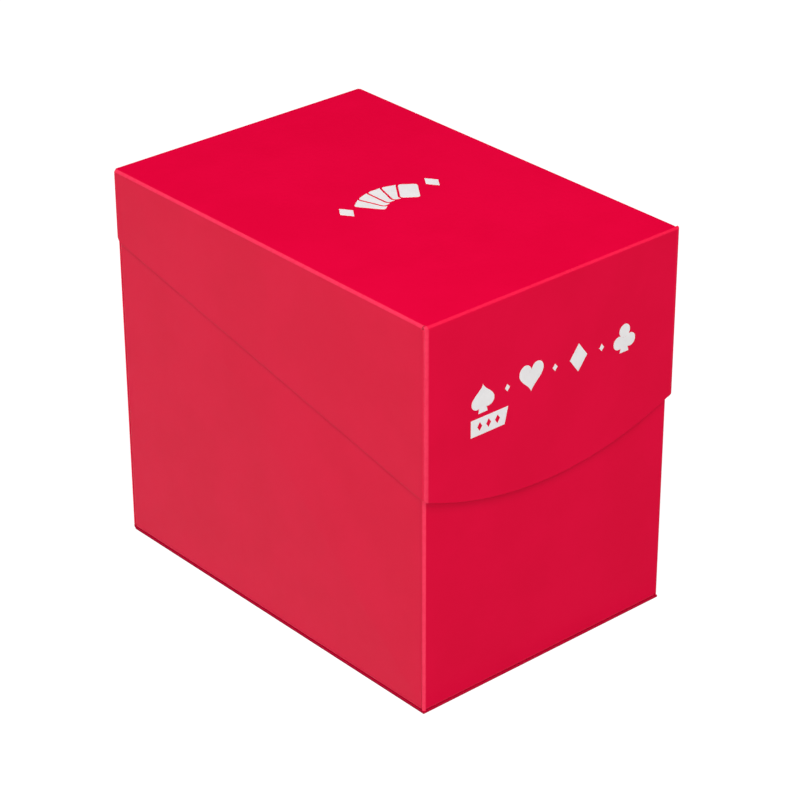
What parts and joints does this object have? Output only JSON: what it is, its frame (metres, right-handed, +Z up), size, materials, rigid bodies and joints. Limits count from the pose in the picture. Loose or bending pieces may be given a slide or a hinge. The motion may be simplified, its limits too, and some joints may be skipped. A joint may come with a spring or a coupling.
{
  "type": "card deck box",
  "caption": "Tall folded plastic deck box for sleeved playing or trading cards, with a deep flip lid on a living hinge and a loose card divider.",
  "frame": {"origin": "middle of the underside of the shut box", "axes": "+X across the box, to the right as seen from the printed front; -Y out of the printed front, so the hinge is at +Y; +Z up towards the lid"},
  "size_m": [0.0764, 0.1108, 0.0982],
  "materials": {
    "case_sheet": "fine matte red polypropylene sheet",
    "lid_sheet": "fine matte red polypropylene sheet",
    "hinge_crease": "creased red polypropylene, slightly lighter",
    "divider_sheet": "fine matte red polypropylene sheet",
    "print": "satin off-white ink",
    "glue": "clear set adhesive"
  },
  "bodies": {
    "case": {"front_panel": "case_sheet", "back_panel": "case_sheet", "left_side_panel": "case_sheet", "right_side_panel": "case_sheet", "bottom_panel": "case_sheet", "left_back_tab": "case_sheet", "right_back_tab": "case_sheet", "front_bottom_tab": "case_sheet", "left_bottom_tab": "case_sheet", "right_bottom_tab": "case_sheet", "back_glue": "glue", "bottom_glue": "glue"},
    "lid": {"lid_hinge_crease": "hinge_crease", "lid_top_panel": "lid_sheet", "lid_front_flap": "lid_sheet", "lid_left_flap": "lid_sheet", "lid_right_flap": "lid_sheet", "lid_left_corner_tab": "lid_sheet", "lid_right_corner_tab": "lid_sheet", "lid_corner_glue": "glue", "top_fan_print": "print", "front_suit_print": "print", "front_tag_print": "print"},
    "divider": {"card_divider": "divider_sheet"}
  },
  "joints": [
    {"name": "lid_hinge", "type": "hinge", "parent": "case", "child": "lid", "pos_m": [0, 0.05515, 0.09795], "axis": [-1, 0, 0], "range_deg": [0, 175]},
    {"name": "divider_slide", "type": "slide", "parent": "case", "child": "divider", "axis": [0, -1, 0], "range_m": [0, 0.1065]}
  ]
}
